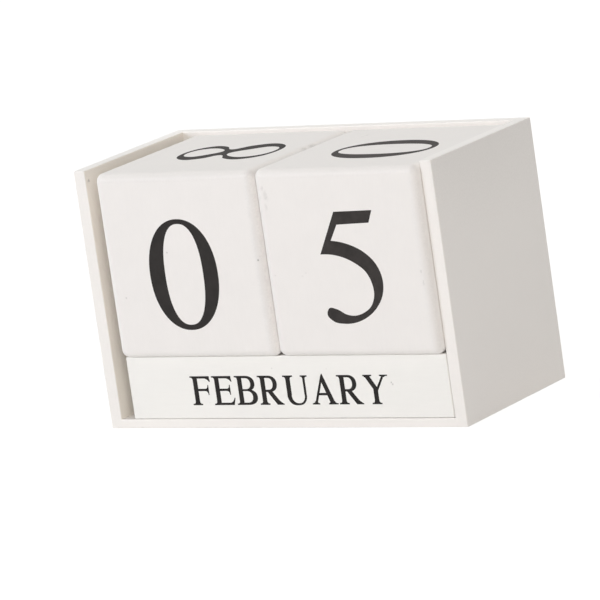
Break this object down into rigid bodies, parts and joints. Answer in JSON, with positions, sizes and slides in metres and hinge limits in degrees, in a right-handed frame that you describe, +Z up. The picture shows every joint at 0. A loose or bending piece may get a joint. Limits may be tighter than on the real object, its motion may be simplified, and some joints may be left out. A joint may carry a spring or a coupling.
{
  "type": "block desk calendar",
  "caption": "Perpetual desk calendar: a painted wooden case, open at the front and the top, with loose number cubes on a row of month bars.",
  "frame": {"origin": "centre of the case's underside", "axes": "+Z up; +X to the right seen from the front, along the case's longest side; the open front faces -Y"},
  "size_m": [0.15, 0.0722, 0.095],
  "materials": {
    "case_paint": "satin white paint on wood",
    "cube_paint": "matt warm white paint on wood",
    "bar_paint": "satin white paint on wood",
    "pin_steel": "bright steel wire",
    "printed_ink": "screen printed charcoal ink"
  },
  "bodies": {
    "case": {"left_side_board": "case_paint", "right_side_board": "case_paint", "back_board": "case_paint", "base_board": "case_paint", "left_side_pins": "pin_steel", "right_side_pins": "pin_steel", "back_pins": "pin_steel"},
    "left_cube": {"left_number_cube": "cube_paint"},
    "right_cube": {"right_number_cube": "cube_paint"},
    "rear_bar": {"rear_month_bar": "bar_paint"},
    "middle_bar": {"middle_month_bar": "bar_paint"},
    "front_bar": {"front_month_bar": "bar_paint"}
  },
  "joints": [
    {"name": "left_cube_lift", "type": "slide", "parent": "case", "child": "left_cube", "axis": [0, 0, 1], "range_m": [0, 0.072]},
    {"name": "right_cube_lift", "type": "slide", "parent": "case", "child": "right_cube", "axis": [0, 0, 1], "range_m": [0, 0.072]},
    {"name": "rear_bar_draw", "type": "slide", "parent": "case", "child": "rear_bar", "axis": [0, -1, 0], "range_m": [0, 0.067]},
    {"name": "middle_bar_draw", "type": "slide", "parent": "rear_bar", "child": "middle_bar", "axis": [0, -1, 0], "range_m": [0, 0.0455]},
    {"name": "front_bar_draw", "type": "slide", "parent": "middle_bar", "child": "front_bar", "axis": [0, -1, 0], "range_m": [0, 0.024]}
  ]
}
